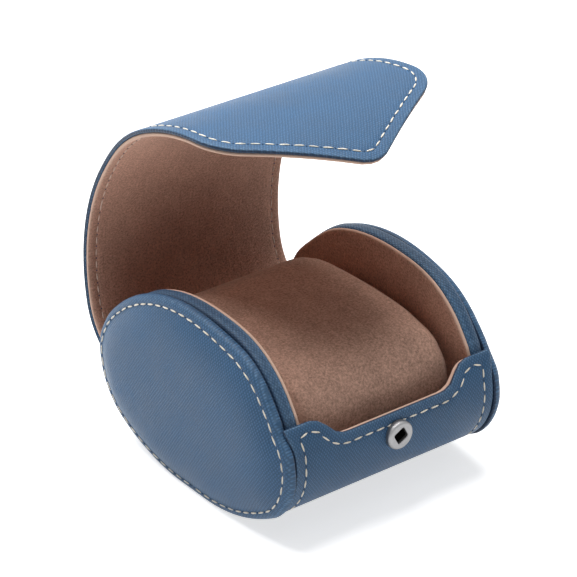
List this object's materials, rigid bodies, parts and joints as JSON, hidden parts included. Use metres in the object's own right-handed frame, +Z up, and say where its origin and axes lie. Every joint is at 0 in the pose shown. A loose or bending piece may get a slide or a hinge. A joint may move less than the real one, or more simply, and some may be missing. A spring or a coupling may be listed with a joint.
{
  "type": "watch roll case",
  "caption": "Oval leather roll case with padded stitched ends, a curved flap lid with a pointed tab, a snap fastener at the front lip and a lift-out suede cushion.",
  "frame": {"origin": "middle of the flat foot that the case stands on", "axes": "+X along the roll, -Y towards the lip and snap, +Y towards the hinge, +Z up"},
  "size_m": [0.082, 0.1037, 0.1132],
  "materials": {
    "leather": "cross-grained blue leather, satin",
    "suede": "taupe suede, matt",
    "board": "raw pressed board",
    "foam": "soft open-cell foam",
    "snap_metal": "polished nickel"
  },
  "bodies": {
    "case": {"body_board": "board", "body_leather": "leather", "body_lining": "suede", "hinge_strip": "leather", "left_end_backing": "board", "left_end_core": "board", "left_end_leather": "leather", "left_end_lining": "suede", "left_end_pad": "foam", "left_rim_band": "leather", "right_end_backing": "board", "right_end_core": "board", "right_end_leather": "leather", "right_end_lining": "suede", "right_end_pad": "foam", "right_rim_band": "leather", "snap_eyelet": "snap_metal", "snap_socket": "snap_metal"},
    "lid": {"lid_board": "board", "lid_leather": "leather", "lid_lining": "suede"},
    "front": {"front_board": "board", "front_leather": "leather", "front_lining": "suede"},
    "tab": {"snap_plate": "snap_metal", "snap_stud": "snap_metal", "tab_board": "board", "tab_leather": "leather", "tab_lining": "suede"},
    "cushion": {"cushion_core": "foam", "cushion_cover": "suede", "cushion_left_end": "suede", "cushion_right_end": "suede"}
  },
  "joints": [
    {"name": "lid_hinge", "type": "hinge", "parent": "case", "child": "lid", "pos_m": [0, 0.046, 0.0216], "axis": [1, 0, 0], "range_deg": [-60, 42.8], "deforming": ["hinge_strip"]},
    {"name": "front_bend", "type": "hinge", "parent": "lid", "child": "front", "pos_m": [0, 0.02332, 0.10219], "axis": [1, 0, 0], "range_deg": [-8, 17]},
    {"name": "tab_bend", "type": "hinge", "parent": "front", "child": "tab", "pos_m": [0, 0.00171, 0.1099], "axis": [1, 0, 0], "range_deg": [-8, 17]},
    {"name": "cushion_lift", "type": "slide", "parent": "case", "child": "cushion", "axis": [0, 0, 1], "range_m": [0, 0.006]}
  ],
  "couplings": [
    {"joint": "tab_bend", "follows": "front_bend", "ratio": 1}
  ]
}
